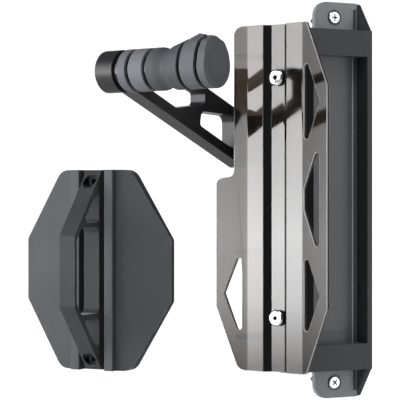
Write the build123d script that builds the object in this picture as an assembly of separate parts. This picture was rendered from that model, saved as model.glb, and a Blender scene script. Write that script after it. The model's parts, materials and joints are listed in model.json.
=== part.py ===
from build123d import *
import math
import os

# Bicycle wall rack: a swinging front-wheel holder on a wall bracket, and a
# separate plate with a lock bar for the rear wheel.
# Row frame, millimetres: +Z up, +Y into the wall, -Y out of the wall, the wall
# bracket's back face on Y = 0, the two wall screws on the Z axis line.
# Swing frame (r, f, z): r to the right, f forwards, turned about the hinge.
# In code the local axes are x = r, y = -f, z = z.

# ---------------------------------------------------------------- dimensions
SWING_REST = 66.0            # rest pose: degrees the holder is turned to the left
HINGE = (-45.0, -11.5)       # hinge axis in the row frame
HINGE_RF = (-32.0, -66.0)    # the same axis in the swing frame (r, f)

BACK_T = 4.0                 # bracket back plate
SCREW_Z = 142.0              # wall screws at +- this height
TAB_L, TAB_R = -17.7, 21.0
TAB_TOP = 154.0
PLATE_L = -56.0
PLATE_TOP = 131.4
SCREW_NECK_R, SCREW_THREAD_R = 1.85, 2.5  # wall screw: plain neck and thread crests
SCREW_REACH = 26.0  # thread length behind the wall face, before a 5 mm point
FLANGE_T = 4.4
BRACKET_D = 19.0             # depth of the flange and the two bars
BAR_LO, BAR_HI = 111.4, 131.4
EYE_R = 7.5

ROD_R = 4.0
BUSH_R = 5.3
KNUCKLE_R = 7.0
KNUCKLE_H = BAR_LO - 2.5     # half length of the hinge tube

GUIDE_T = 3.0
GUIDE_TOP, GUIDE_BOT = 127.0, -124.5
GUIDE_HALF = 48.6
WING_SWEEP = 5.4
GROOVE_D = 4.5
GUIDE_SCREW_Z = (88.3, -85.3)
GUIDE_SCREW_R = 3.0

POST_LO, POST_HI = -102.5, 107.6
POST_L, POST_R = -12.0, 24.5

ARM_L, ARM_R = -58.0, -44.5  # arm plate faces across r
HOOK_F, HOOK_Z = 114.5, 88.0 # hook axis
HOOK_R = 14.6
CORE_R = 12.7
HOOK_END = 34.6
ARM_BOLT = ((-21.0, 37.5), (-21.0, 54.0))

REAR_REST = 55.2             # rear plate faces this far to the left
REAR_AT = (-230.5, -57.9, -48.0)
REAR_W, REAR_H = 57.0, 68.7  # half sizes
REAR_SIDE = 21.0
REAR_BACK = -9.0             # f of the rear plate's wall face
BAR_HALF = 5.9
BAR_PROUD = 37.0
REAR_HOLE_Z = 60.9

os.makedirs("parts", exist_ok=True)


# ------------------------------------------------------------------- helpers
def prism(plane, pts, h, radii=0.0):
    wire = FilletPolyline(*pts, radius=radii, close=True)
    face = make_face(plane * wire)
    return extrude(face, amount=h, dir=plane.z_dir)


def xy(pts, z0, z1, radii=0.0):
    return prism(Plane(origin=(0, 0, z0), x_dir=(1, 0, 0), z_dir=(0, 0, 1)), pts, z1 - z0, radii)


def xz(pts, y0, y1, radii=0.0):
    """Outline in (x, z), from y0 to y1."""
    return prism(Plane(origin=(0, y1, 0), x_dir=(1, 0, 0), z_dir=(0, -1, 0)), pts, y1 - y0, radii)


def yz(pts, x0, x1, radii=0.0):
    """Outline in (y, z), from x0 to x1."""
    return prism(Plane(origin=(x0, 0, 0), x_dir=(0, 1, 0), z_dir=(1, 0, 0)), pts, x1 - x0, radii)


def fz(pts, r0, r1, radii=0.0):
    """Outline in (f, z) of the swing or rear frame, from r0 to r1."""
    return yz([(-f, z) for f, z in pts], r0, r1, radii)


def box(x0, x1, y0, y1, z0, z1):
    return Pos((x0 + x1) / 2, (y0 + y1) / 2, (z0 + z1) / 2) * Box(x1 - x0, y1 - y0, z1 - z0)


def cyl_z(x, y, r, z0, z1):
    return Pos(x, y, (z0 + z1) / 2) * Cylinder(r, z1 - z0)


def cyl_x(y, z, r, x0, x1):
    return Pos((x0 + x1) / 2, y, z) * (Rot(0, 90, 0) * Cylinder(r, x1 - x0))


def cyl_y(x, z, r, y0, y1):
    return Pos(x, (y0 + y1) / 2, z) * (Rot(90, 0, 0) * Cylinder(r, y1 - y0))


def hexagon_y(x, z, flats, y0, y1):
    rad = flats / math.sqrt(3)
    pts = [(x + rad * math.cos(math.radians(60 * k)), z + rad * math.sin(math.radians(60 * k))) for k in range(6)]
    return xz(pts, y0, y1)


def hexagon_x(y, z, flats, x0, x1):
    rad = flats / math.sqrt(3)
    pts = [(y + rad * math.cos(math.radians(60 * k)), z + rad * math.sin(math.radians(60 * k))) for k in range(6)]
    return yz(pts, x0, x1)


# swing frame origin in the row frame
a = math.radians(SWING_REST)
ORIGIN = (
    HINGE[0] - HINGE_RF[0] * math.cos(a) + HINGE_RF[1] * math.sin(a),
    HINGE[1] + HINGE_RF[0] * math.sin(a) + HINGE_RF[1] * math.cos(a),
)
SWING = Location((ORIGIN[0], ORIGIN[1], 0), (0, 0, -SWING_REST))
REAR = Location(REAR_AT, (0, 0, -REAR_REST))


def solids_of(shape):
    return [s for s in shape.solids()]


def save(name, shape, where=None):
    if where is not None:
        shape = where * shape
    parts = solids_of(shape)
    out = parts[0] if len(parts) == 1 else Compound(children=parts)
    out.label = name
    export_step(out, f"parts/{name}.step")
    print(name, len(parts), round(sum(s.volume for s in parts)))


# -------------------------------------------------------------- wall bracket
plate_pts = [
    (TAB_R, TAB_TOP), (TAB_L, TAB_TOP), (TAB_L, 134.0), (TAB_L - 2.6, PLATE_TOP),
    (PLATE_L, PLATE_TOP), (PLATE_L, -PLATE_TOP), (TAB_L - 2.6, -PLATE_TOP), (TAB_L, -134.0),
    (TAB_L, -TAB_TOP), (TAB_R, -TAB_TOP),
]
back = xz(plate_pts, -BACK_T, 0.0, [0, 11, 2.8, 2.8, 6, 6, 2.8, 2.8, 11, 0])
flange_pts = [
    (0.0, TAB_TOP), (-2.6, 153.2), (-BRACKET_D, BAR_HI - 1.6), (-BRACKET_D, 1.6 - BAR_HI), (-2.6, -153.2), (0.0, -TAB_TOP),
]
flange = yz(flange_pts, TAB_R, TAB_R + FLANGE_T, [0, 2, 3, 3, 2, 0])
bracket = back + flange
for s in (1, -1):
    lo, hi = (BAR_LO, BAR_HI) if s > 0 else (-BAR_HI, -BAR_LO)
    bar = box(HINGE[0], TAB_R + FLANGE_T, -BRACKET_D, -BACK_T + 0.5, lo, hi)
    bar = bar + cyl_z(HINGE[0], HINGE[1], EYE_R, lo, hi)
    bracket = bracket + bar
# raised panel edge: a shallow groove beside the flange, full height
bracket = bracket + box(TAB_R - 4.6, TAB_R - 3.7, -BACK_T - 0.45, -BACK_T + 0.5, -149.0, 149.0)
bracket = bracket - box(TAB_R - 3.7, TAB_R - 1.2, -BACK_T - 0.6, -BACK_T + 1.3, -149.0, 149.0)
# a shallow raised field on the back plate between the bars, plain
field = xz([(-33.0, 102.0), (13.0, 102.0), (13.0, -102.0), (-33.0, -102.0)], -BACK_T - 0.35, -BACK_T + 0.2, 5.0)
bracket = bracket + field
for s in (1, -1):
    z = s * SCREW_Z
    bracket = bracket - cyl_y(0, z, 2.8, -8, 1)
    bracket = bracket - cyl_y(0, z, 6.2, -8, -BACK_T + 1.6)
    zi = s * BAR_LO
    zo = s * BAR_HI
    bracket = bracket - cyl_z(HINGE[0], HINGE[1], ROD_R + 0.05, min(zi, zo) - 1, max(zi, zo) + 1)
    bracket = bracket - cyl_z(HINGE[0], HINGE[1], 6.1, min(zo, zo - s * 2.6), max(zo, zo - s * 2.6))
    # two shallow lightening pockets in the unseen outer face of each bar
    pocket = box(-33.0, -8.0, -15.5, -7.5, min(zo, zo - s * 6.0), max(zo, zo - s * 6.0))
    pocket2 = box(-4.0, 16.0, -15.5, -7.5, min(zo, zo - s * 6.0), max(zo, zo - s * 6.0))
    bracket = bracket - pocket - pocket2
save("wall_bracket", bracket)

# --------------------------------------------------------------- wall screws
screws = []
for s in (1, -1):
    z = s * SCREW_Z
    head = cyl_y(0, z, 4.95, -5.0, -2.4)
    head = chamfer(head.edges().filter_by(GeomType.CIRCLE).sort_by(Axis.Y)[0], 0.7)
    # a plain neck through the tab, then the wider thread (its crests as one envelope) behind the wall face
    body = head + cyl_y(0, z, SCREW_NECK_R, -2.6, 1.0) + cyl_y(0, z, SCREW_THREAD_R, 0.8, SCREW_REACH)
    tip = Pos(0, SCREW_REACH + 2.5, z) * (Rot(-90, 0, 0) * Cone(SCREW_THREAD_R, 0.6, 5.0))
    body = body + tip
    cross = box(-2.6, 2.6, -5.6, -3.0, z - 0.6, z + 0.6) + box(-0.6, 0.6, -5.6, -3.0, z - 2.6, z + 2.6)
    if s < 0:  # the lower screw stopped an eighth of a turn further round
        cross = Pos(0, 0, z) * Rot(0, 45, 0) * Pos(0, 0, -z) * cross
    screws.append(body - cross)
save("wall_screws", Compound(children=[s.solids()[0] for s in screws]))

# --------------------------------------------------------------------- hinge
hx, hy = HINGE
rod = cyl_z(hx, hy, ROD_R, 0.6 - BAR_HI, BAR_HI - 0.6)
for s in (1, -1):
    g0, g1 = (BAR_HI - 2.0, BAR_HI - 1.1) if s > 0 else (1.1 - BAR_HI, 2.0 - BAR_HI)
    g = cyl_z(hx, hy, ROD_R + 1, g0, g1) - cyl_z(hx, hy, 3.4, g0 - 1, g1 + 1)
    rod = rod - g
save("hinge_rod", rod)
clips = []
for s in (1, -1):
    z0, z1 = (BAR_HI - 1.95, BAR_HI - 1.15) if s > 0 else (1.15 - BAR_HI, 1.95 - BAR_HI)
    ring = cyl_z(hx, hy, 5.8, z0, z1) - cyl_z(hx, hy, 3.45, z0 - 1, z1 + 1)
    gap = box(hx - 1.2, hx + 1.2, hy + 1.0, hy + 8.0, z0 - 1, z1 + 1)
    clips.append(ring - gap)
save("hinge_clips", Compound(children=[c.solids()[0] for c in clips]))
washers = []
for s in (1, -1):
    z0, z1 = (BAR_LO - 1.15, BAR_LO - 0.05) if s > 0 else (0.05 - BAR_LO, 1.15 - BAR_LO)
    washers.append(cyl_z(hx, hy, 6.9, z0, z1) - cyl_z(hx, hy, ROD_R + 0.05, z0 - 1, z1 + 1))
save("thrust_washers", Compound(children=[w.solids()[0] for w in washers]))
for name, s in (("hinge_bush_upper", 1), ("hinge_bush_lower", -1)):
    k0, k1 = (KNUCKLE_H - 18.0, KNUCKLE_H) if s > 0 else (-KNUCKLE_H, -KNUCKLE_H + 18.0)
    f0, f1 = (KNUCKLE_H, KNUCKLE_H + 1.2) if s > 0 else (-KNUCKLE_H - 1.2, -KNUCKLE_H)
    bush = cyl_z(hx, hy, BUSH_R - 0.02, k0, k1) + cyl_z(hx, hy, 6.9, f0, f1)
    bush = bush - cyl_z(hx, hy, ROD_R + 0.05, -120, 120)
    save(name, bush)

# ---------------------------------------------------------------- swing post
kx, ky = HINGE_RF[0], -HINGE_RF[1]
knuckle = cyl_z(kx, ky, KNUCKLE_R, -KNUCKLE_H, KNUCKLE_H)
pad = xy([(POST_L, GROOVE_D + GUIDE_T), (POST_R, GROOVE_D + GUIDE_T), (POST_R, 14.0), (POST_L, 14.0)], POST_LO, POST_HI)
pad_front = xz([(POST_L, POST_LO), (POST_R, POST_LO), (POST_R, POST_HI), (POST_L, POST_HI)], 0, 20, 4.0)
pad = (pad + box(14.0, POST_R, GUIDE_T + 0.4, 9.0, POST_LO, POST_HI)) & pad_front
# web from the pad back to the hinge tube, with four windows cut through it
p0, p1 = (-3.0, 12.0), (kx, ky)
wl = math.hypot(p1[0] - p0[0], p1[1] - p0[1])
wang = math.degrees(math.atan2(p1[1] - p0[1], p1[0] - p0[0]))
web = box(0, wl, -4.0, 4.0, POST_LO + 2, POST_HI - 2)
for z0, z1 in ((70.0, 101.0), (-30.0, 14.0), (-94.0, -44.0)):
    web = web - xz([(13.0, z0), (wl - 14.0, z0), (wl - 14.0, z1), (13.0, z1)], -6, 6, 6.0)
web = Pos(p0[0], p0[1], 0) * (Rot(0, 0, wang) * web)
post = knuckle + web + pad
# horizontal end ribs and one middle rib, spreading behind the left half
rib_pts = [(-42.0, 8.4), (POST_R, 8.4), (POST_R, 15.0), (-25.4, ky), (-38.6, ky), (-42.0, 36.0)]
for z0, z1 in ((POST_HI - 3.0, POST_HI), (-39.5, -36.5), (POST_LO, POST_LO + 3.0)):
    rib = xy(rib_pts, z0, z1, [3, 0, 3, 0, 0, 6])
    post = post + rib
# lug that carries the hook arm
lug = box(ARM_R, -6.0, 13.0, 27.5, 27.0, 62.0)
post = post + lug
post = post - cyl_z(kx, ky, BUSH_R, KNUCKLE_H - 18.0, 130) - cyl_z(kx, ky, BUSH_R, -130, -KNUCKLE_H + 18.0)
post = post - cyl_z(kx, ky, ROD_R + 0.6, -120, 120)
for z in GUIDE_SCREW_Z:
    post = post - cyl_y(0, z, GUIDE_SCREW_R + 0.05, 0, 15)
for f, z in ARM_BOLT:
    post = post - cyl_x(-f, z, 3.05, ARM_R - 1, -22.0)
save("swing_post", post, SWING)

# ---------------------------------------------------------------- tyre guide
g, t = GROOVE_D, GUIDE_T
bend = 24.0
tb = math.tan(math.atan2(WING_SWEEP, GUIDE_HALF + 0.6 - bend) / 2) * t   # offset shift at the wing bend
tg = math.tan(math.radians(22.5)) * t                                      # offset shift at the groove corners
end = GUIDE_HALF + 0.6
slope = WING_SWEEP / (end - bend)
nx, ny = slope / math.hypot(1, slope), 1 / math.hypot(1, slope)
front = [(-end, -WING_SWEEP), (-bend, 0.0), (-10.1, 0.0), (-5.8, g), (5.8, g), (10.1, 0.0), (bend, 0.0), (end, -WING_SWEEP)]
backl = [
    (end, -WING_SWEEP + t * math.hypot(1, slope)), (bend, t), (10.1 + tg, t),
    (5.8 + tg, g + t), (-5.8 - tg, g + t), (-10.1 - tg, t), (-bend, t), (-end, -WING_SWEEP + t * math.hypot(1, slope)),
]
ring = front + backl
radii = [0, 6.0, 1.0, 0.5, 0.5, 1.0, 6.0, 0, 0, 9.0, 1.2, 1.2, 1.2, 1.2, 9.0, 0]
sheet = xy(ring, GUIDE_BOT - 2, GUIDE_TOP + 2, radii)
outline = [
    (-35.0, GUIDE_TOP), (28.2, GUIDE_TOP), (GUIDE_HALF, 81.0), (GUIDE_HALF, -77.0), (28.0, GUIDE_BOT),
    (-31.4, GUIDE_BOT), (-GUIDE_HALF - 0.2, -78.0), (-GUIDE_HALF - 0.2, 15.4), (-35.0, 17.6),
]
plate = xz(outline, -12, 14, [7.0, 2.5, 2.0, 2.0, 5.0, 7.5, 2.5, 4.5, 4.5])
guide = sheet & plate
cuts = [
    ([(-28.4, -33.2), (-42.6, -68.3), (-28.8, -104.2)], [2.2, 1.6, 2.2]),
    ([(25.9, 105.0), (41.2, 70.0), (25.9, 35.0)], [2.2, 1.6, 2.2]),
    ([(40.6, 41.5), (25.8, 8.2), (25.8, -7.0), (40.6, -41.0)], [2.2, 1.6, 1.6, 2.2]),
    ([(25.9, -34.5), (41.0, -68.0), (25.9, -101.0)], [2.2, 1.6, 2.2]),
]
for pts, rr in cuts:
    guide = guide - xz(pts, -12, 14, rr)
for z in GUIDE_SCREW_Z:
    guide = guide - cyl_y(0, z, 3.4, 0, 15)
save("tyre_guide", guide, SWING)

gs, gw = [], []
for z in GUIDE_SCREW_Z:
    head = cyl_y(0, z, 5.9, g - 3.9, g - 0.9)
    head = chamfer(head.edges().filter_by(GeomType.CIRCLE).sort_by(Axis.Y)[0], 1.1)
    scr = head + cyl_y(0, z, GUIDE_SCREW_R, g - 1.0, 13.2)
    scr = scr - hexagon_y(0, z, 3.4, g - 4.5, g - 1.5)
    gs.append(scr)
    gw.append(cyl_y(0, z, 5.4, g - 0.9, g) - cyl_y(0, z, GUIDE_SCREW_R + 0.05, -10, 15))
save("guide_screws", Compound(children=[s.solids()[0] for s in gs]), SWING)
save("guide_washers", Compound(children=[s.solids()[0] for s in gw]), SWING)

# ------------------------------------------------------------------ hook arm
def low(f):
    return 34.0 + 0.398 * f


def top(f):
    return 73.3 + 0.384 * f


arm_pts = [
    (-28.0, low(-28.0)), (104.0, low(104.0)), (118.0, HOOK_Z - 10.0), (118.0, HOOK_Z + 10.0),
    (110.0, HOOK_Z + HOOK_R - 0.4), (76.0, 102.2), (-28.0, top(-28.0)),
]
arm = fz(arm_pts, ARM_L, ARM_R, [3.0, 0, 0, 0, 0, 12, 3.0])
boss = cyl_x(-HOOK_F, HOOK_Z, HOOK_R, ARM_L - 2.4, ARM_R)
boss = chamfer(boss.edges().filter_by(GeomType.CIRCLE).sort_by(Axis.X)[0], 1.2)
arm = arm + boss
# first window, behind and below the hook
arm = arm - fz([(57.3, 65.4), (94.5, 80.2), (94.5, 94.8), (74.0, 95.0), (24.2, 77.8), (24.2, 69.2)],
               ARM_L - 5, ARM_R + 5, [4, 3.5, 4, 8, 2.6, 3.2])
# second window, at the root
arm = arm - fz([(30.2, 54.0), (28.2, 64.2), (-14.3, 62.6), (-14.3, 36.2)], ARM_L - 5, ARM_R + 5, [3, 4, 6, 3])
# fine step along the lower edge of both side faces
for x0, x1 in ((ARM_R - 0.8, ARM_R + 1), (ARM_L - 1, ARM_L + 0.8)):
    arm = arm - fz([(-24.0, low(-24.0) + 3.0), (96.0, low(96.0) + 3.0), (96.0, low(96.0) + 3.9), (-24.0, low(-24.0) + 3.9)], x0, x1)
arm = arm - cyl_x(-HOOK_F, HOOK_Z, 4.1, -80, 0) - cyl_x(-HOOK_F, HOOK_Z, 7.2, -80, ARM_L + 4.0)
for f, z in ARM_BOLT:
    arm = arm - cyl_x(-f, z, 3.3, -80, 0) - cyl_x(-f, z, 5.6, -80, ARM_L + 6.4)
save("hook_arm", arm, SWING)

bolts = []
for f, z in ARM_BOLT:
    b = cyl_x(-f, z, 5.0, ARM_L + 0.9, ARM_L + 6.4) + cyl_x(-f, z, 3.0, ARM_L + 6.3, -24.0)
    b = b - hexagon_x(-f, z, 5.0, ARM_L, ARM_L + 4.0)
    bolts.append(b)
save("arm_bolts", Compound(children=[b.solids()[0] for b in bolts]), SWING)

# ------------------------------------------------------- hook: core and skin
y0 = -HOOK_F
spindle = cyl_x(y0, HOOK_Z, 8.0, ARM_R, 28.0) - cyl_x(y0, HOOK_Z, 4.05, ARM_R - 3, -18.0)
save("hook_spindle", spindle, SWING)
sb = cyl_x(y0, HOOK_Z, 6.5, ARM_L - 1.6, ARM_L + 4.0) + cyl_x(y0, HOOK_Z, 4.0, ARM_L + 3.9, -20.0)
sb = sb - hexagon_x(y0, HOOK_Z, 6.0, ARM_L - 2.0, ARM_L + 2.2)
save("spindle_bolt", sb, SWING)
core = cyl_x(y0, HOOK_Z, CORE_R, ARM_R, 33.0) - cyl_x(y0, HOOK_Z, 8.05, ARM_R - 1, 28.05)


def lip_section(r, grow, apex, shrink=0.0):
    """Closed outline at r: a circle below, growing into a low gable above."""
    corners = [(HOOK_R, 0.0), (13.3, 9.6), (9.4, 16.6), (0.0, apex), (-9.4, 16.6), (-13.3, 9.6), (-HOOK_R, 0.0)]
    pts = []
    for k in range(36):
        th = math.radians(10.0 * k)
        c, s_ = math.cos(th), math.sin(th)
        rad = HOOK_R
        if 0 < k < 18:
            for (ax, az), (bx, bz) in zip(corners, corners[1:]):
                den = c * (bz - az) - s_ * (bx - ax)
                hit = (ax * (bz - az) - az * (bx - ax)) / den if abs(den) > 1e-9 else 0.0
                px, pz = hit * c, hit * s_
                if hit > 0 and min(ax, bx) - 1e-6 <= px <= max(ax, bx) + 1e-6 and min(az, bz) - 1e-6 <= pz <= max(az, bz) + 1e-6:
                    rad = max(rad, HOOK_R + grow * (hit - HOOK_R))
        rad -= shrink
        pts.append(Vector(r, y0 + rad * c, HOOK_Z + rad * s_))
    return make_face(Spline(*pts, periodic=True))


def lip_body(shrink=0.0):
    a_ = loft([lip_section(-1.0, 0.0, 22.2, shrink), lip_section(9.5, 0.5, 22.2, shrink), lip_section(20.0, 1.0, 22.2, shrink)])
    b_ = loft([lip_section(20.0, 1.0, 22.2, shrink), lip_section(40.0, 0.86, 19.4, shrink)], ruled=True)
    return a_ + b_


lips = lip_body()
lips_core = lip_body(2.0)


def slab(r0, r1):
    return box(r0, r1, y0 - 40, y0 + 40, HOOK_Z - 40, HOOK_Z + 40)


# black core keeps a smaller copy of the lip so that the slots stay black
core_house = (lips_core & slab(11.2, 30.5)) - cyl_x(y0, HOOK_Z, 8.05, 0, 28.05)
core = core + core_house
save("hook_core", core, SWING)

hole = cyl_x(y0, HOOK_Z, CORE_R + 0.02, ARM_R - 5, 33.02)


def band(r0, r1, bevel=0.5):
    b = cyl_x(y0, HOOK_Z, HOOK_R, r0, r1)
    b = fillet(b.edges().filter_by(GeomType.CIRCLE), bevel)
    return b - hole


save("hook_band_inner", band(-40.2, -33.2), SWING)
save("hook_band_middle", band(-30.2, -18.4), SWING)

# saddle band: straight, a scooped waist where the rim rests, straight again
with BuildPart() as saddle_b:
    with BuildSketch(Plane.XY) as sk:
        with BuildLine():
            Polyline((-15.4, CORE_R + 0.02), (-15.4, HOOK_R - 0.5), (-14.9, HOOK_R), (-10.0, HOOK_R))
            Spline((-10.0, HOOK_R), (-3.8, HOOK_R - 1.75), (2.2, HOOK_R - 0.25), tangents=[(1, -0.1), (1, 0.45)])
            Polyline((2.2, HOOK_R - 0.25), (2.2, CORE_R + 0.02), (-15.4, CORE_R + 0.02))
        make_face()
    revolve(axis=Axis.X)
saddle = Pos(0, y0, HOOK_Z) * saddle_b.part
foot = (lips & slab(2.2, 10.9)) - hole
saddle = saddle + foot
save("hook_saddle", saddle, SWING)

lip_band = (lips & slab(13.6, 25.4)) - hole - lip_body(1.98)
save("hook_lip", lip_band, SWING)

cap = lips & slab(28.4, HOOK_END)
cap_cone = Pos(33.7, y0, HOOK_Z + 1.2) * (Rot(0, 90, 0) * Cone(20.2, 12.4, 2.0))
cap = cap & (cap_cone + slab(20, 32.7))
cap = cap - hole - (lip_body(1.98) & slab(20, 30.52))
# plain raised disc on the end face
cap = cap + cyl_x(y0, HOOK_Z + 0.8, 9.6, HOOK_END - 0.6, HOOK_END + 0.4)
save("hook_end_cap", cap, SWING)

# ---------------------------------------------------------------- rear plate
oct_pts = [
    (REAR_W, REAR_SIDE), (27.5, REAR_H), (-27.5, REAR_H), (-REAR_W, REAR_SIDE),
    (-REAR_W, -REAR_SIDE), (-27.5, -REAR_H), (27.5, -REAR_H), (REAR_W, -REAR_SIDE),
]
oct_r = [4, 10, 10, 4, 4, 10, 10, 4]
octagon = xz(oct_pts, -12, 12, oct_r)
rb = -REAR_BACK
sect = [
    (-REAR_W - 1, 5.0), (-16.6, 0.0), (-16.6, -4.6), (-9.8, -4.6), (-9.8, 3.0), (9.8, 3.0), (9.8, -4.6), (16.6, -4.6), (16.6, 0.0),
    (REAR_W + 1, 5.0), (REAR_W + 1, rb), (-REAR_W - 1, rb),
]
rear = xy(sect, -80, 80, [0, 0.6, 0.6, 0.6, 0, 0, 0.6, 0.6, 0.6, 0, 0, 0]) & octagon
for s in (1, -1):
    rear = rear - cyl_y(0, s * REAR_HOLE_Z, 2.75, 0, 12)
    rear = rear - cyl_y(0, s * 36.0, 2.1, 0, 12)
    rear = rear - (Pos(0, rb - 1.1, s * 36.0) * (Rot(-90, 0, 0) * Cone(2.1, 4.3, 2.2)))
save("rear_plate", rear, REAR)

# lock bar: a machined bridge with three windows through its side
out_pts = [
    (-3.0, 68.2), (1.0, 68.2), (BAR_PROUD, 24.0), (BAR_PROUD, -24.0), (1.0, -68.2), (-3.0, -68.2),
]
lock = fz(out_pts, -BAR_HALF, BAR_HALF, [0, 1.5, 5, 5, 1.5, 0])
lock = lock - fz([(4.5, 29.2), (27.6, 29.2), (33.8, 21.5), (33.8, -21.5), (27.6, -29.2), (4.5, -29.2)], -10, 10, [4, 3, 4, 4, 3, 4])
for s in (1, -1):
    pts = [(4.5, 33.0 * s), (24.6, 33.0 * s), (10.0, 51.0 * s), (4.5, 53.0 * s)]
    if s < 0:
        pts = pts[::-1]
    lock = lock - fz(pts, -10, 10, 2.0)
for s in (1, -1):
    z = s * REAR_HOLE_Z
    lock = lock - cyl_y(0, z, 2.75, -40, 12)
    lock = lock - cyl_y(0, z, 4.75, -40, 0.4)
    lock = lock - cyl_y(0, s * 36.0, 1.6, -1.6, 12)
lock = lock & box(-20, 20, -60, 3.0, -80, 80)
save("rear_lock_bar", lock, REAR)

rs = []
for s in (1, -1):
    z = s * 36.0
    b = cyl_y(0, z, 1.55, -1.4, rb - 2.0) + (Pos(0, rb - 1.15, z) * (Rot(-90, 0, 0) * Cone(1.95, 3.9, 2.0)))
    b = b - (box(-1.8, 1.8, rb - 1.4, rb + 1, z - 0.4, z + 0.4) + box(-0.4, 0.4, rb - 1.4, rb + 1, z - 1.8, z + 1.8))
    rs.append(b)
save("rear_bar_screws", Compound(children=[b.solids()[0] for b in rs]), REAR)
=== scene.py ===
import bpy, bmesh, math, json, random
from mathutils import Vector, Matrix


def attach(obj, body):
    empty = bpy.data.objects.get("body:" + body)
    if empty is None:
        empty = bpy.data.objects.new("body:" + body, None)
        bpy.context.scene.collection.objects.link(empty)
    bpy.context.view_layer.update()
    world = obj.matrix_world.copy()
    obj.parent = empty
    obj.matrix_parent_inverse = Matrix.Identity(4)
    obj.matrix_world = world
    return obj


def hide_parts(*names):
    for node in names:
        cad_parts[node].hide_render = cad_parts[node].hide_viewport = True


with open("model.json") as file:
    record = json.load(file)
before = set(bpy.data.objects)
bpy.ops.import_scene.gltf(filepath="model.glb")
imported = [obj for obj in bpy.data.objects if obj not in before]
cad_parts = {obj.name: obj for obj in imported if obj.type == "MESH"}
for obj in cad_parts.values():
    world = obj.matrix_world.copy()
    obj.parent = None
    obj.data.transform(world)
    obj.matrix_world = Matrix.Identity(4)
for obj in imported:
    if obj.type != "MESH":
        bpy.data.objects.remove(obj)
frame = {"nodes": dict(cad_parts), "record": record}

random.seed(7)
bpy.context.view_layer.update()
NODES = frame["nodes"]
BODY_OF = {}
for body, names in frame["record"]["behaviour"]["bodies"].items():
    for n in names:
        BODY_OF[n] = body
SLOT_OF = {s["node"]: s["material_slot"] for s in frame["record"]["subparts"]}


# ------------------------------------------------------------------ materials
def new_mat(name):
    m = bpy.data.materials.new(name)
    m.use_nodes = True
    nt = m.node_tree
    for n in list(nt.nodes):
        nt.nodes.remove(n)
    out = nt.nodes.new("ShaderNodeOutputMaterial")
    bsdf = nt.nodes.new("ShaderNodeBsdfPrincipled")
    nt.links.new(bsdf.outputs["BSDF"], out.inputs["Surface"])
    return m, nt, bsdf


def noise(nt, coord, scale, detail=4.0, rough=0.55, stretch=None):
    mp = nt.nodes.new("ShaderNodeMapping")
    nt.links.new(coord.outputs["Object"], mp.inputs["Vector"])
    if stretch:
        mp.inputs["Scale"].default_value = stretch
    n = nt.nodes.new("ShaderNodeTexNoise")
    n.inputs["Scale"].default_value = scale
    n.inputs["Detail"].default_value = detail
    n.inputs["Roughness"].default_value = rough
    nt.links.new(mp.outputs["Vector"], n.inputs["Vector"])
    return n


def ramp(nt, src, lo, hi, a, b):
    r = nt.nodes.new("ShaderNodeMapRange")
    r.inputs["From Min"].default_value = lo
    r.inputs["From Max"].default_value = hi
    r.inputs["To Min"].default_value = a
    r.inputs["To Max"].default_value = b
    nt.links.new(src, r.inputs["Value"])
    return r


def mix_color(nt, fac, a, b):
    m = nt.nodes.new("ShaderNodeMix")
    m.data_type = "RGBA"
    nt.links.new(fac, m.inputs["Factor"])
    if isinstance(a, tuple):
        m.inputs["A"].default_value = (*a, 1)
    else:
        nt.links.new(a, m.inputs["A"])
    if isinstance(b, tuple):
        m.inputs["B"].default_value = (*b, 1)
    else:
        nt.links.new(b, m.inputs["B"])
    return m.outputs["Result"]


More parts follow.
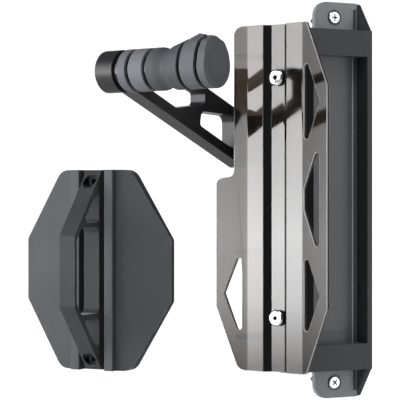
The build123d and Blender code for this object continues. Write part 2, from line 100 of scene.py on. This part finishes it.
def surface(name, color, dark, rough, metallic=0.0, grain=900.0, bump=0.12, bump_d=0.00006, wear_and_edge_highlight=None, wear_and_highlight_amt=0.5,
            spec=0.5, stretch=None, rough_var=0.06, coat=0.0, painted_light=False):
    """A painted, moulded or machined surface with grain, uneven gloss and lightened bevel edges, partly worn and partly
    painted edge highlight; its colour can also be scaled per face by painted shade and painted highlight.
    """
    m, nt, b = new_mat(name)
    co = nt.nodes.new("ShaderNodeTexCoord")
    broad = noise(nt, co, 28.0, 5.0, 0.6)
    fine = noise(nt, co, grain, 3.0, 0.6, stretch)
    fac = ramp(nt, broad.outputs["Fac"], 0.3, 0.7, 0.0, 1.0)
    base = mix_color(nt, fac.outputs["Result"], dark, color)
    r = ramp(nt, broad.outputs["Fac"], 0.3, 0.7, rough - rough_var, rough + rough_var)
    rough_out = r.outputs["Result"]
    # Lightened bevel edges: partly wear, partly painted edge highlight standing in for edges that catch the light.
    if wear_and_edge_highlight is not None:
        at = nt.nodes.new("ShaderNodeAttribute")
        at.attribute_name = "wear_and_edge_highlight"
        patch = noise(nt, co, 160.0, 5.0, 0.7)
        pr = ramp(nt, patch.outputs["Fac"], 0.42, 0.62, 0.15, 1.0)
        mul = nt.nodes.new("ShaderNodeMath")
        mul.operation = "MULTIPLY"
        nt.links.new(at.outputs["Fac"], mul.inputs[0])
        nt.links.new(pr.outputs["Result"], mul.inputs[1])
        mul2 = nt.nodes.new("ShaderNodeMath")
        mul2.operation = "MULTIPLY"
        mul2.inputs[1].default_value = wear_and_highlight_amt
        nt.links.new(mul.outputs[0], mul2.inputs[0])
        base = mix_color(nt, mul2.outputs[0], base, wear_and_edge_highlight)
    # Painted light: the colour is scaled per face by a layer of painted shade and painted highlight.
    if painted_light:
        painted_light_node = nt.nodes.new("ShaderNodeAttribute")
        painted_light_node.attribute_name = "painted_light"
        painted_light_scale = nt.nodes.new("ShaderNodeVectorMath")
        painted_light_scale.operation = "SCALE"
        nt.links.new(base, painted_light_scale.inputs[0])
        nt.links.new(painted_light_node.outputs["Fac"], painted_light_scale.inputs["Scale"])
        base = painted_light_scale.outputs["Vector"]
    nt.links.new(base, b.inputs["Base Color"])
    nt.links.new(rough_out, b.inputs["Roughness"])
    b.inputs["Metallic"].default_value = metallic
    b.inputs["Specular IOR Level"].default_value = spec
    if coat:
        b.inputs["Coat Weight"].default_value = coat
        b.inputs["Coat Roughness"].default_value = 0.12
    bp = nt.nodes.new("ShaderNodeBump")
    bp.inputs["Strength"].default_value = bump
    bp.inputs["Distance"].default_value = bump_d
    nt.links.new(fine.outputs["Fac"], bp.inputs["Height"])
    nt.links.new(bp.outputs["Normal"], b.inputs["Normal"])
    return m


# Each finish's wear colour lightens its bevel edges, partly as wear and partly as painted edge highlight; the finishes
# that take the per-face layer get painted shade and painted highlight.
M = {}
M["bracket_paint"] = surface("bracket_paint", (0.205, 0.216, 0.229), (0.182, 0.192, 0.204), 0.32, grain=2600, bump=0.10,
                             bump_d=0.00003, wear_and_edge_highlight=(0.38, 0.39, 0.40), wear_and_highlight_amt=0.45, spec=0.20, painted_light=True)
M["bright_steel"] = surface("bright_steel", (0.66, 0.66, 0.67), (0.58, 0.58, 0.59), 0.20, metallic=1.0, grain=1800, bump=0.2,
                            bump_d=0.00003, wear_and_edge_highlight=(0.75, 0.75, 0.75), wear_and_highlight_amt=0.5, painted_light=True)
M["hinge_steel"] = surface("hinge_steel", (0.42, 0.42, 0.43), (0.34, 0.34, 0.35), 0.32, metallic=1.0, grain=900,
                           stretch=(1, 1, 0.08), bump=0.2, bump_d=0.00003, wear_and_edge_highlight=(0.6, 0.6, 0.6))
M["bearing_plastic"] = surface("bearing_plastic", (0.030, 0.030, 0.031), (0.022, 0.022, 0.023), 0.5, grain=1500,
                               wear_and_edge_highlight=(0.07, 0.07, 0.07))
M["post_black"] = surface("post_black", (0.010, 0.010, 0.011), (0.007, 0.007, 0.008), 0.58, grain=2200, bump=0.3,
                          bump_d=0.00004, wear_and_edge_highlight=(0.05, 0.05, 0.05), wear_and_highlight_amt=0.4, spec=0.06)
M["arm_black"] = surface("arm_black", (0.018, 0.018, 0.020), (0.012, 0.012, 0.0135), 0.38, grain=2400, bump=0.25,
                         bump_d=0.00004, wear_and_edge_highlight=(0.10, 0.10, 0.11), wear_and_highlight_amt=0.45, spec=0.30)
M["black_steel"] = surface("black_steel", (0.05, 0.05, 0.052), (0.035, 0.035, 0.037), 0.3, metallic=0.6, grain=1600,
                           wear_and_edge_highlight=(0.3, 0.3, 0.3))
M["black_trim"] = surface("black_trim", (0.012, 0.012, 0.012), (0.008, 0.008, 0.008), 0.4, grain=1600, wear_and_edge_highlight=(0.04, 0.04, 0.04))
M["core_black"] = surface("core_black", (0.006, 0.0065, 0.007), (0.004, 0.0045, 0.005), 0.14, grain=1800, wear_and_edge_highlight=(0.03, 0.03, 0.03), spec=0.30)
M["grey_rubber"] = surface("grey_rubber", (0.112, 0.120, 0.133), (0.094, 0.101, 0.114), 0.62, grain=3200, bump=0.5,
                           bump_d=0.00006, wear_and_edge_highlight=(0.16, 0.165, 0.175), wear_and_highlight_amt=0.45, spec=0.25, painted_light=True)
M["rear_charcoal"] = surface("rear_charcoal", (0.037, 0.0405, 0.043), (0.029, 0.0315, 0.034), 0.42, grain=2600, bump=0.3,
                             bump_d=0.00005, wear_and_edge_highlight=(0.21, 0.22, 0.225), wear_and_highlight_amt=0.75, spec=0.14, painted_light=True)
M["bar_charcoal"] = surface("bar_charcoal", (0.042, 0.0445, 0.047), (0.032, 0.034, 0.036), 0.36, grain=2400, bump=0.25,
                            bump_d=0.00004, wear_and_edge_highlight=(0.30, 0.31, 0.32), wear_and_highlight_amt=0.9, spec=0.06, painted_light=True)


def smoked():
    """Dark see-through glossy plastic, with light handling marks in its gloss, painted edge highlight on its cut rims,
    and painted shade, opaque and near-black, where the per-face painted light layer is zero.
    """
    m, nt, b = new_mat("guide_gloss")
    co = nt.nodes.new("ShaderNodeTexCoord")
    broad = noise(nt, co, 22.0, 4.0, 0.6)
    fine = noise(nt, co, 420.0, 3.0, 0.6)
    c = mix_color(nt, ramp(nt, broad.outputs["Fac"], 0.3, 0.7, 0, 1).outputs["Result"], (0.046, 0.034, 0.026), (0.056, 0.042, 0.033))
    at = nt.nodes.new("ShaderNodeAttribute")
    at.attribute_name = "wear_and_edge_highlight"
    # Painted edge highlight: the cut rims are painted light grey and made less see-through.
    c = mix_color(nt, ramp(nt, at.outputs["Fac"], 0, 1, 0, 0.7).outputs["Result"], c, (0.46, 0.46, 0.46))
    r = ramp(nt, broad.outputs["Fac"], 0.3, 0.75, 0.045, 0.085)
    nt.links.new(r.outputs["Result"], b.inputs["Roughness"])
    clear = ramp(nt, at.outputs["Fac"], 0.0, 1.0, 0.85, 0.15)
    # Painted shade: where the per-face painted light layer is zero, the plastic is made opaque and painted near-black.
    painted_light_node = nt.nodes.new("ShaderNodeAttribute")
    painted_light_node.attribute_name = "painted_light"
    see = nt.nodes.new("ShaderNodeMath")
    see.operation = "MULTIPLY"
    nt.links.new(clear.outputs["Result"], see.inputs[0])
    nt.links.new(painted_light_node.outputs["Fac"], see.inputs[1])
    nt.links.new(see.outputs[0], b.inputs["Transmission Weight"])
    c = mix_color(nt, painted_light_node.outputs["Fac"], (0.005, 0.005, 0.0055), c)
    nt.links.new(c, b.inputs["Base Color"])
    b.inputs["IOR"].default_value = 1.52
    b.inputs["Specular IOR Level"].default_value = 0.6
    bp = nt.nodes.new("ShaderNodeBump")
    bp.inputs["Strength"].default_value = 0.03
    bp.inputs["Distance"].default_value = 0.00003
    nt.links.new(fine.outputs["Fac"], bp.inputs["Height"])
    nt.links.new(bp.outputs["Normal"], b.inputs["Normal"])
    return m


M["guide_gloss"] = smoked()


# ---------------------------------------------------------- finer shape pieces
def tidy(node):
    """A clean, welded copy of a CAD node's mesh, with its flat faces whole again."""
    bm = bmesh.new()
    bm.from_mesh(NODES[node].data)
    bmesh.ops.remove_doubles(bm, verts=bm.verts, dist=2e-6)
    bmesh.ops.dissolve_limit(bm, angle_limit=math.radians(0.4), verts=bm.verts, edges=bm.edges)
    bmesh.ops.recalc_face_normals(bm, faces=bm.faces)
    return bm


def local(p, origin, degrees):
    """A row point in the frame of a unit that stands turned about Z."""
    a = math.radians(-degrees)
    x, y = p.x - origin[0], p.y - origin[1]
    return x * math.cos(a) - y * math.sin(a), x * math.sin(a) + y * math.cos(a)


# Painted shade and light on the hook's rubber: one grey rubber is scaled part by part, with the saddle darkened most
# for the shade in its waist.
RUBBER_PAINTED_LIGHT = {"hook_saddle": 0.53, "hook_lip": 0.80, "hook_end_cap": 0.74, "hook_band_inner": 0.97, "hook_band_middle": 1.10}


def painted_light_of(node, c, n, pts):
    """Painted light on some faces: painted shade on the guide's groove wall, in the screws' recesses and the rear
    unit's holes, on the bracket's flange and plate and on the hook's saddle; painted highlight on the bracket's bead
    and the rear plate's ridges; the bracket's bars and the other rubber parts scaled as listed.
    """
    # Painted shade: the left wall of the guide's groove is painted black and opaque.
    if node == "tyre_guide":
        x, y = local(c, (-0.09228, -0.06757), -66.0)
        return 0.0 if -0.0108 < x < -0.0052 and 0.0003 < y < 0.0079 else 1.0
    # Painted shade in the wall screws' cross recesses.
    if node == "wall_screws":
        r = math.hypot(c.x, abs(c.z) - 0.142)
        return 0.08 if r < 0.0029 and -0.00485 < c.y < -0.0026 else 1.0
    # Painted shade in the guide screws' sockets.
    if node == "guide_screws":
        x, y = local(c, (-0.09228, -0.06757), -66.0)
        z = c.z - (0.0883 if c.z > 0 else -0.0853)
        return 0.10 if math.hypot(x, z) < 0.0034 and HEAD_Y + 0.0002 < y < HEAD_Y + 0.0027 else 1.0
    if node in ("rear_plate", "rear_lock_bar"):
        x, y = local(c, (-0.2305, -0.0579), -55.2)
        reach = max(math.hypot(local(q, (-0.2305, -0.0579), -55.2)[0], abs(q.z + 0.048) - 0.0609) for q in pts)
        # Painted shade in the screw holes near the lock bar's two ends, on the plate and on the bar.
        if reach < 0.0049:
            return 0.08
        # Painted highlight on the front faces of the rear plate's two ridges.
        if node == "rear_plate" and 0.0096 < abs(x) < 0.0168 and y < -0.0044:
            return 1.55
        return 1.0
    if node in RUBBER_PAINTED_LIGHT:
        return RUBBER_PAINTED_LIGHT[node]
    # Painted light on the wall bracket: a painted highlight on the bead's line, painted shade on the flange, the plate
    # darkened as a painted dark reflection, the front faces of the bars and flange scaled to 0.17, and the tabs left as
    # they are.
    if node == "wall_bracket":
        if 0.0162 < c.x < 0.0176 and c.y < -0.0040 and abs(c.z) < 0.112:
            return 2.4
        if c.y < -0.0175:
            return 0.17
        if c.x > 0.0205:
            return 0.16
        if abs(c.z) > 0.1316:
            return 1.0
        return 0.55
    return 1.0


HEAD_Y = min(local(v.co, (-0.09228, -0.06757), -66.0)[1] for v in NODES["guide_screws"].data.vertices)


def finer(node, width, segs=2, angle=28.0, mat=None, rim=None):
    """The CAD node's shape with every crease softened, standing for that node. rim widens the square cut edges."""
    bm = tidy(node)
    me = bpy.data.meshes.new(node + "_src")
    bm.to_mesh(me)
    bm.free()
    for p in me.polygons:
        p.use_smooth = True
    me.set_sharp_from_angle(angle=math.radians(angle))
    ob = bpy.data.objects.new(node + "_src", me)
    bpy.context.scene.collection.objects.link(ob)
    me.materials.append(None)
    me.materials.append(None)
    if rim:
        cut = ob.modifiers.new("rim", "BEVEL")
        cut.width = rim
        cut.segments = 2
        cut.limit_method = "ANGLE"
        cut.angle_limit = math.radians(70)
        cut.use_clamp_overlap = False
        cut.material = 1
    mod = ob.modifiers.new("soft", "BEVEL")
    mod.width = width
    mod.segments = segs
    mod.profile = 0.6
    mod.limit_method = "ANGLE"
    mod.angle_limit = math.radians(angle)
    mod.harden_normals = True
    mod.use_clamp_overlap = True
    mod.material = 1
    bpy.context.view_layer.update()
    dg = bpy.context.evaluated_depsgraph_get()
    out = bpy.data.meshes.new_from_object(ob.evaluated_get(dg), preserve_all_data_layers=True, depsgraph=dg)
    bpy.data.objects.remove(ob)
    # Edge layer: 1 on the bevel faces, which the finishes lighten as wear and painted edge highlight.
    at = out.attributes.new("wear_and_edge_highlight", "FLOAT_COLOR", "CORNER")
    vals = [0.0] * (len(out.loops) * 4)
    for p in out.polygons:
        w = 1.0 if p.material_index == 1 else 0.0
        for li in p.loop_indices:
            vals[li * 4:li * 4 + 4] = [w, w, w, 1.0]
        p.material_index = 0
    at.data.foreach_set("color", vals)
    # Painted light layer: a per-face scale of painted shade and painted highlight.
    painted_light_layer = out.attributes.new("painted_light", "FLOAT_COLOR", "CORNER")
    vals = [1.0] * (len(out.loops) * 4)
    for p in out.polygons:
        w = painted_light_of(node, p.center, p.normal, [out.vertices[i].co for i in p.vertices])
        for li in p.loop_indices:
            vals[li * 4:li * 4 + 4] = [w, w, w, 1.0]
    painted_light_layer.data.foreach_set("color", vals)
    out.materials.clear()
    out.materials.append(mat or M[SLOT_OF[node]])
    new = bpy.data.objects.new("vis_" + node, out)
    bpy.context.scene.collection.objects.link(new)
    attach(new, BODY_OF[node])
    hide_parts(node)
    return new


WIDTHS = {
    "wall_bracket": 0.0007, "wall_screws": 0.00012, "hinge_rod": 0.0003, "hinge_clips": 0.0001, "thrust_washers": 0.0001,
    "hinge_bush_upper": 0.0001, "hinge_bush_lower": 0.0001, "swing_post": 0.0005, "tyre_guide": 0.0002,
    "guide_screws": 0.0002, "guide_washers": 0.0001, "hook_arm": 0.0006, "arm_bolts": 0.0002, "hook_spindle": 0.0002,
    "spindle_bolt": 0.0002, "hook_core": 0.0003, "hook_band_inner": 0.00015, "hook_band_middle": 0.00015,
    "hook_saddle": 0.0003, "hook_lip": 0.0004, "hook_end_cap": 0.0004, "rear_plate": 0.0005, "rear_lock_bar": 0.0006,
    "rear_bar_screws": 0.0001,
}
for n in sorted(NODES):
    NODES[n].data.materials.clear()
    NODES[n].data.materials.append(M[SLOT_OF[n]])
    # The guide's wider rim bevel carries its painted edge highlight.
    piece = finer(n, WIDTHS[n], rim=0.0007 if n == "tyre_guide" else None)
    if n in ("rear_plate", "rear_lock_bar", "rear_bar_screws"):
        piece.visible_glossy = False


# --------------------------------------------------------------- stage, light
def panel(name, az0, az1, z0, z1, radius, centre, lum, steps=40, rows=16):
    """A curved softbox around the object. lum(azimuth, z) is its brightness."""
    bm = bmesh.new()
    grid = []
    for i in range(steps + 1):
        a = az0 + (az1 - az0) * i / steps
        col = []
        for j in range(rows + 1):
            z = z0 + (z1 - z0) * j / rows
            v = bm.verts.new((centre[0] + radius * math.sin(math.radians(a)), centre[1] - radius * math.cos(math.radians(a)), z))
            col.append((v, lum(a, z)))
        grid.append(col)
    me = bpy.data.meshes.new(name)
    faces = []
    for i in range(steps):
        for j in range(rows):
            faces.append(bm.faces.new((grid[i][j][0], grid[i + 1][j][0], grid[i + 1][j + 1][0], grid[i][j + 1][0])))
    bm.verts.index_update()
    values = [0.0] * len(bm.verts)
    for col in grid:
        for v, l in col:
            values[v.index] = l
    bm.to_mesh(me)
    bm.free()
    at = me.attributes.new("lum", "FLOAT", "POINT")
    at.data.foreach_set("value", values)
    ob = bpy.data.objects.new(name, me)
    bpy.context.scene.collection.objects.link(ob)
    m = bpy.data.materials.new(name)
    m.use_nodes = True
    nt = m.node_tree
    for nd in list(nt.nodes):
        nt.nodes.remove(nd)
    out = nt.nodes.new("ShaderNodeOutputMaterial")
    em = nt.nodes.new("ShaderNodeEmission")
    a = nt.nodes.new("ShaderNodeAttribute")
    a.attribute_name = "lum"
    nt.links.new(a.outputs["Fac"], em.inputs["Strength"])
    nt.links.new(em.outputs["Emission"], out.inputs["Surface"])
    me.materials.append(m)
    ob.visible_camera = False
    return ob


def bell(x, c, w):
    return math.exp(-((x - c) / w) ** 2)


def key_lum(a, z):
    v = 13.8 * bell(a, -102.5, 18.5) + 3.6 * bell(a, -82, 26)
    if z < -0.10:
        return v * max(0.10, bell(z, -0.10, 0.145))
    return v * (0.20 + 0.50 * bell(z, -0.10, 0.75) + 0.30 * bell(z, -0.10, 0.13))


panel("softbox_left", -150, -58, -0.8, 0.9, 1.5, (-0.1, -0.08), key_lum)
panel("softbox_right", 16, 60, -0.6, 0.8, 1.7, (-0.1, -0.05), lambda a, z: 2.6 * bell(a, 36, 22))


def flat(name, corners, color, emission=None):
    me = bpy.data.meshes.new(name)
    me.from_pydata(corners, [], [(0, 1, 2, 3)])
    ob = bpy.data.objects.new(name, me)
    bpy.context.scene.collection.objects.link(ob)
    m, nt, b = new_mat(name)
    b.inputs["Base Color"].default_value = (*color, 1)
    b.inputs["Roughness"].default_value = 0.8
    if emission:
        b.inputs["Emission Color"].default_value = (1, 1, 1, 1)
        b.inputs["Emission Strength"].default_value = emission
    me.materials.append(m)
    return ob


flat("floor", [(-2.4, -2.2, -0.75), (2.4, -2.2, -0.75), (2.4, 1.4, -0.75), (-2.4, 1.4, -0.75)], (0.82, 0.82, 0.82))

# white backdrop, square to the camera's line of sight
CAM = Vector((-0.7337, -1.1362, 0.0))
LOOK = Vector((0.4772, 0.8788, 0.0)).normalized()
SIDE = Vector((LOOK.y, -LOOK.x, 0))
c = CAM + LOOK * 6.4
w, h = 2.3, 2.3
flat("backdrop", [tuple(c - SIDE * w - Vector((0, 0, h))), tuple(c + SIDE * w - Vector((0, 0, h))),
                  tuple(c + SIDE * w + Vector((0, 0, h))), tuple(c - SIDE * w + Vector((0, 0, h)))], (0, 0, 0), 1.12)


def area(name, loc, target, size, power, size_y=None):
    ld = bpy.data.lights.new(name, "AREA")
    ld.energy = power
    ld.size = size
    if size_y:
        ld.shape = "RECTANGLE"
        ld.size_y = size_y
    ob = bpy.data.objects.new(name, ld)
    bpy.context.scene.collection.objects.link(ob)
    ob.location = loc
    ob.rotation_euler = (Vector(target) - Vector(loc)).to_track_quat("-Z", "Y").to_euler()
    ob.visible_camera = False
    return ob


area("top_soft", (-0.5, -0.9, 1.5), (-0.1, -0.05, 0.0), 1.2, 14.0, 1.0)

front = area("front_fill", (-1.25, -1.04, 0.3), (-0.2, -0.05, 0.0), 0.8, 5.0, 0.8)
front.visible_glossy = False
front.visible_transmission = False

low = area("low_fill", (-1.0, -0.9, -0.9), (-0.2, -0.05, -0.05), 0.9, 7.0, 0.7)
low.visible_glossy = False

world = bpy.data.worlds.new("studio")
bpy.context.scene.world = world
world.use_nodes = True
wt = world.node_tree
dim = wt.nodes["Background"]
dim.inputs["Color"].default_value = (1, 1, 1, 1)
dim.inputs["Strength"].default_value = 0.10
pale = wt.nodes.new("ShaderNodeBackground")
pale.inputs["Color"].default_value = (1, 1, 1, 1)
pale.inputs["Strength"].default_value = 0.92
path = wt.nodes.new("ShaderNodeLightPath")
both = wt.nodes.new("ShaderNodeMixShader")
wt.links.new(path.outputs["Is Camera Ray"], both.inputs["Fac"])
wt.links.new(dim.outputs["Background"], both.inputs[1])
wt.links.new(pale.outputs["Background"], both.inputs[2])
wt.links.new(both.outputs["Shader"], wt.nodes["World Output"].inputs["Surface"])

# --------------------------------------------------------------------- camera
cd = bpy.data.cameras.new("camera")
cd.sensor_width = 36.0
cd.sensor_height = 36.0
cd.lens = 155.5
cd.clip_start = 0.01
cam = bpy.data.objects.new("camera", cd)
bpy.context.scene.collection.objects.link(cam)
cam.location = CAM
cam.rotation_euler = LOOK.to_track_quat("-Z", "Y").to_euler()
bpy.context.scene.camera = cam
bpy.context.scene.view_settings.view_transform = "Standard"
bpy.context.scene.view_settings.look = "None"
